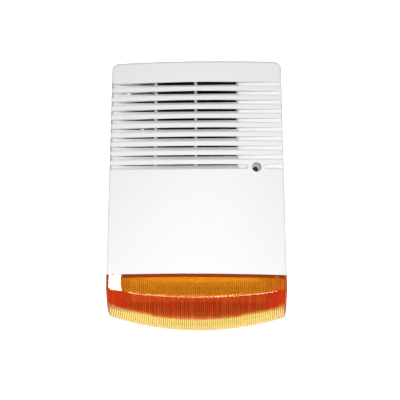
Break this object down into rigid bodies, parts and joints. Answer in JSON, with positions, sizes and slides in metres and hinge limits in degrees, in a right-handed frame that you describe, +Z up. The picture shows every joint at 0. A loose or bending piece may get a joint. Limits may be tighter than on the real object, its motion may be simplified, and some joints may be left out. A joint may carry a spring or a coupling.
{
  "type": "alarm siren",
  "caption": "Wall alarm siren: tapered white cover with louvres in front of a horn, amber flash lens below, hinged on a back plate with battery and boards.",
  "frame": {"origin": "centre of the wall screw pattern, on the back plate's rear face", "axes": "+X to the right as seen from the front, -Y out of the wall towards the viewer, +Z up"},
  "size_m": [0.2, 0.085, 0.307],
  "materials": {
    "cover_white": "smooth moulded ABS, light sheen",
    "plate_black": "moulded ABS",
    "lens_amber": "clear amber polycarbonate with moulded ribs",
    "rubber_black": "matt",
    "steel_zinc": "zinc plated",
    "steel_black": "black oxide",
    "brass": "turned",
    "horn_black": "moulded ABS",
    "driver_black": "moulded ABS",
    "board_green": "solder resist on glass epoxy",
    "terminal_blue": "moulded polyamide",
    "relay_blue": "moulded case",
    "capacitor_sleeve": "shrunk sleeve",
    "chip_black": "moulded epoxy",
    "coil_copper": "varnished copper winding on ferrite",
    "header_cream": "moulded polyamide",
    "battery_case": "moulded ABS",
    "reflector_white": "satin moulded ABS",
    "led_clear": "clear epoxy dome",
    "switch_black": "moulded",
    "plunger_white": "moulded acetal",
    "spring_steel": "drawn wire",
    "lead_red": "PVC insulation",
    "lead_black": "PVC insulation"
  },
  "bodies": {
    "base": {"back_plate": "plate_black", "screw_insert": "brass", "hinge_pins": "steel_zinc", "cable_grommet": "rubber_black", "siren_horn": "horn_black", "horn_driver": "driver_black", "horn_bracket": "steel_zinc", "horn_screws": "steel_zinc", "main_board": "board_green", "board_screws": "steel_zinc", "terminal_block": "terminal_blue", "terminal_screws": "steel_zinc", "relay": "relay_blue", "capacitors": "capacitor_sleeve", "controller_chip": "chip_black", "driver_transistors": "chip_black", "boost_coil": "coil_copper", "lead_headers": "header_cream", "battery": "battery_case", "battery_tabs": "brass", "spade_connectors": "header_cream", "battery_strap": "steel_zinc", "strap_screws": "steel_zinc", "strobe_board": "board_green", "strobe_reflector": "reflector_white", "strobe_leds": "led_clear", "strobe_screws": "steel_zinc", "cover_tamper_switch": "switch_black", "cover_tamper_spring": "spring_steel", "wall_tamper_switch": "switch_black", "wall_tamper_spring": "spring_steel", "horn_lead_red": "lead_red", "horn_lead_black": "lead_black", "battery_lead_red": "lead_red", "battery_lead_black": "lead_black", "strobe_lead_red": "lead_red", "strobe_lead_black": "lead_black"},
    "cover": {"front_cover": "cover_white", "flash_lens": "lens_amber", "lens_seal": "rubber_black", "lens_screws": "steel_zinc"},
    "screw_washer": {"cover_screw_seal": "rubber_black"},
    "screw": {"cover_screw": "steel_black"},
    "cover_tamper": {"cover_tamper_plunger": "plunger_white"},
    "wall_tamper": {"wall_tamper_plunger": "plunger_white"}
  },
  "joints": [
    {"name": "cover_hinge", "type": "hinge", "parent": "base", "child": "cover", "pos_m": [0, -0.008, 0.1435], "axis": [-1, 0, 0], "range_deg": [0, 80]},
    {"name": "cover_screw_travel", "type": "slide", "parent": "cover", "child": "screw_washer", "axis": [0, -1, 0], "range_m": [0, 0.006]},
    {"name": "cover_screw_turn", "type": "hinge", "parent": "screw_washer", "child": "screw", "pos_m": [0.0677, -0.05, 0.028], "axis": [0, -1, 0], "range_deg": [0, 3600]},
    {"name": "cover_tamper_travel", "type": "slide", "parent": "base", "child": "cover_tamper", "axis": [0, -1, 0], "range_m": [0, 0.003]},
    {"name": "wall_tamper_travel", "type": "slide", "parent": "base", "child": "wall_tamper", "axis": [0, 1, 0], "range_m": [0, 0.0025], "stiffness_N_per_m": 60, "springref_m": 0.004}
  ],
  "couplings": [
    {"joint": "cover_screw_turn", "follows": "cover_screw_travel", "rad_per_m": 10472},
    {"joint": "cover_tamper_travel", "follows": "cover_hinge", "m_per_rad": 0.002148}
  ]
}
